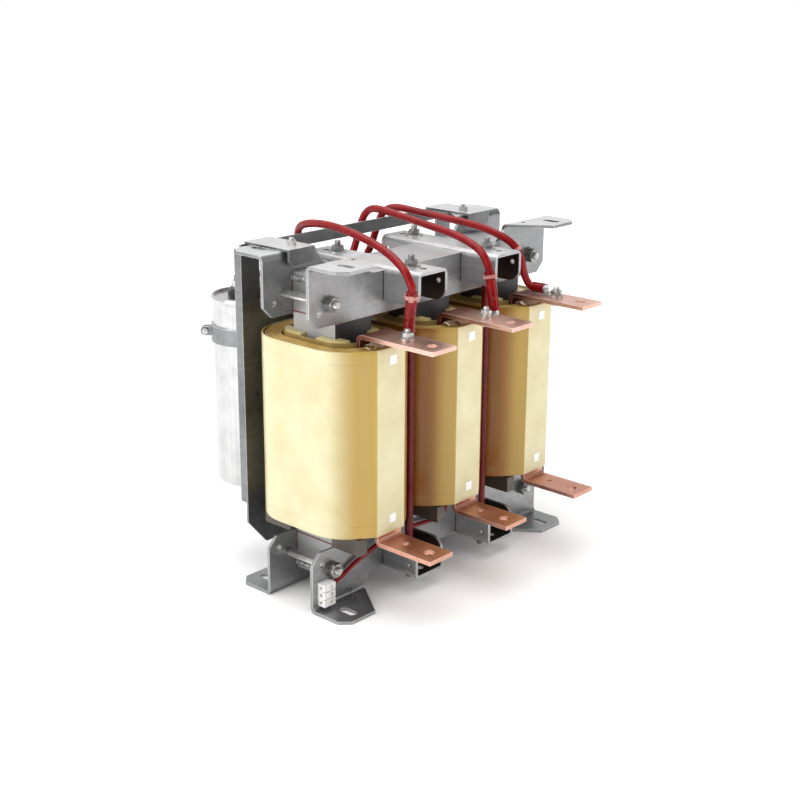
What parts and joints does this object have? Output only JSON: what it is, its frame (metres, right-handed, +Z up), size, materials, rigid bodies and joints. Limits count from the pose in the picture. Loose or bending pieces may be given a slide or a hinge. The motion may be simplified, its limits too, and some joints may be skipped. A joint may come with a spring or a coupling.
{
  "type": "three phase output filter choke",
  "caption": "Open frame filter choke with foil coils in a row, copper connection bars, clamp frame and a capacitor can on a rear panel.",
  "frame": {"origin": "on the floor, in the middle of the four feet, under the middle limb", "axes": "+X along the row of coils to the right seen from the connection bars, +Y to the rear panel, +Z up"},
  "size_m": [0.432, 0.3682, 0.4447],
  "materials": {
    "core_steel": "dark laminated core steel",
    "red_brown": "red brown insulation sheet",
    "insulation_gold": "resin soaked insulation film",
    "foil": "copper foil edges under resin",
    "wrap": "cream insulation wrap with gold resin shading",
    "insulation_cream": "resin soaked insulation board",
    "copper": "bare copper, tinned brown in places",
    "galvanised": "galvanised sheet",
    "fastener": "zinc plated",
    "red_sleeve": "glossy red tube",
    "can_aluminium": "drawn aluminium can",
    "black_plastic": "moulded",
    "red_lead": "glossy red cable jacket",
    "tinned": "tinned lugs",
    "white_plastic": "moulded"
  },
  "bodies": {
    "root": {"lower_yoke": "core_steel", "upper_yoke": "core_steel", "left_limb": "core_steel", "middle_limb": "core_steel", "right_limb": "core_steel", "gap_spacers": "red_brown", "yoke_insulation": "red_brown", "left_coil_former": "insulation_gold", "middle_coil_former": "insulation_gold", "right_coil_former": "insulation_gold", "left_winding": "foil", "middle_winding": "foil", "right_winding": "foil", "left_interlayer": "insulation_gold", "middle_interlayer": "insulation_gold", "right_interlayer": "insulation_gold", "left_coil_wrap": "wrap", "middle_coil_wrap": "wrap", "right_coil_wrap": "wrap", "duct_sticks": "insulation_cream", "coil_packers": "insulation_gold", "left_upper_terminal": "copper", "middle_upper_terminal": "copper", "right_upper_terminal": "copper", "left_lower_terminal": "copper", "middle_lower_terminal": "copper", "right_lower_terminal": "copper", "upper_front_clamp": "galvanised", "upper_rear_clamp": "galvanised", "lower_front_clamp": "galvanised", "lower_rear_clamp": "galvanised", "upper_left_crossbar": "galvanised", "upper_right_crossbar": "galvanised", "lower_left_crossbar": "galvanised", "lower_right_crossbar": "galvanised", "tie_rods": "fastener", "tie_rod_sleeves": "red_sleeve", "tie_rod_washers": "fastener", "tie_rod_nuts": "fastener", "clamp_studs": "fastener", "clamp_washers": "fastener", "clamp_nuts": "fastener", "rear_panel": "galvanised", "hook_screws": "fastener", "capacitor_can": "can_aluminium", "capacitor_terminal_block": "black_plastic", "capacitor_nuts": "fastener", "capacitor_clamp": "galvanised", "capacitor_clamp_screws": "fastener", "left_power_lead": "red_lead", "middle_power_lead": "red_lead", "right_power_lead": "red_lead", "lead_sleeves": "red_lead", "ring_lugs": "tinned", "lead_bolts": "fastener", "lead_nuts": "fastener", "cable_ties": "white_plastic", "thermostat_wire": "red_lead", "terminal_block": "white_plastic"}
  },
  "joints": []
}
